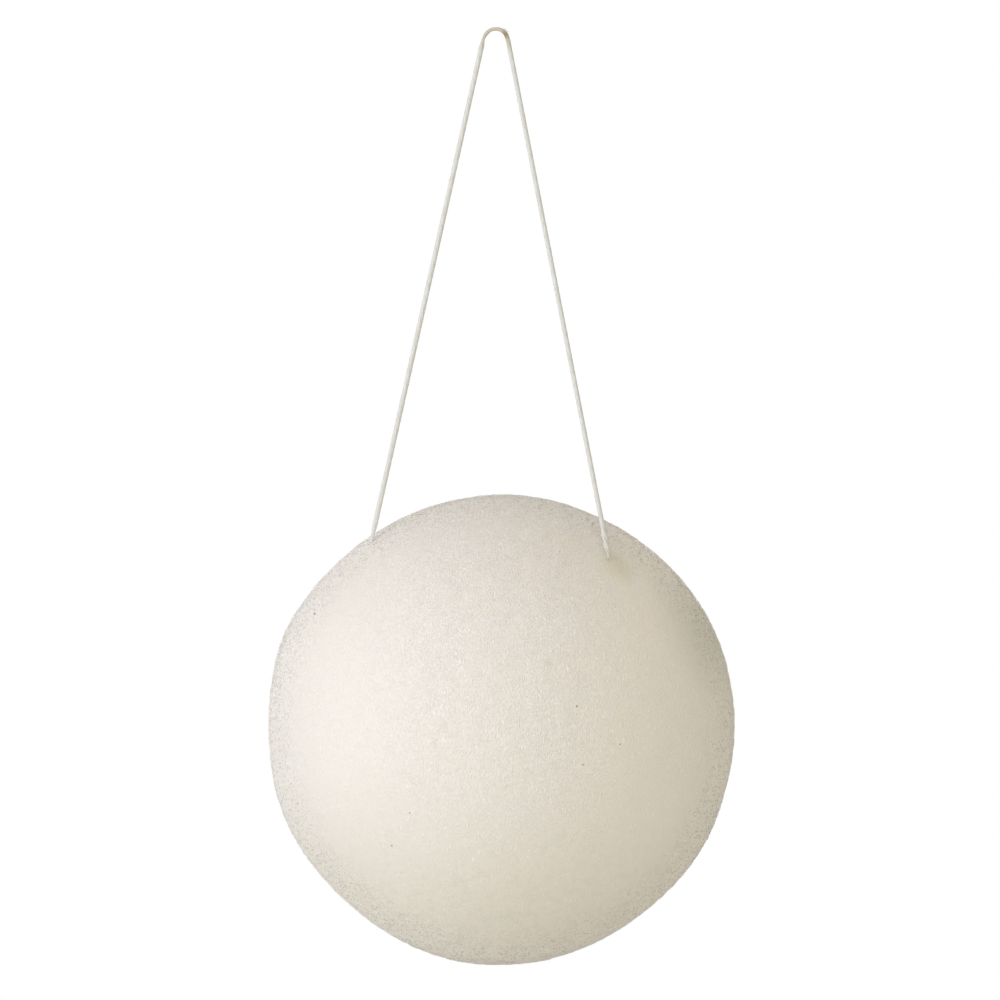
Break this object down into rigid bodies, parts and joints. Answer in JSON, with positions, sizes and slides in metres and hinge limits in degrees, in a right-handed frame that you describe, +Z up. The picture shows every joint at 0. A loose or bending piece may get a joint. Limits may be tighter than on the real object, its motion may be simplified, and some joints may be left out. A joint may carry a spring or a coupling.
{
  "type": "konjac sponge",
  "caption": "Half-ball facial sponge of konjac with a rounded rim and a flat back, hung from a thin cotton cord that is threaded through it and knotted inside.",
  "frame": {"origin": "middle of the hook or peg that the cord's loop hangs on", "axes": "+Z up, -Y the way the dome faces, +Y the way the flat back faces, +X to the right seen from the dome's side"},
  "size_m": [0.08, 0.0409, 0.1598],
  "materials": {
    "sponge": "cream plant-fibre gel with a fine open grain, damp and slightly translucent",
    "cord": "off-white cotton string, softly twisted"
  },
  "bodies": {
    "loop": {"hanging_loop": "cord", "left_cord_end": "cord", "right_cord_end": "cord"},
    "sponge_body": {"sponge": "sponge"}
  },
  "joints": [
    {"name": "sponge_swing", "type": "hinge", "parent": "loop", "child": "sponge_body", "pos_m": [-0.00098, 0.00023, -0.0869], "axis": [0.9703, -0.2288, -0.0787], "range_deg": [-95, 40]}
  ]
}
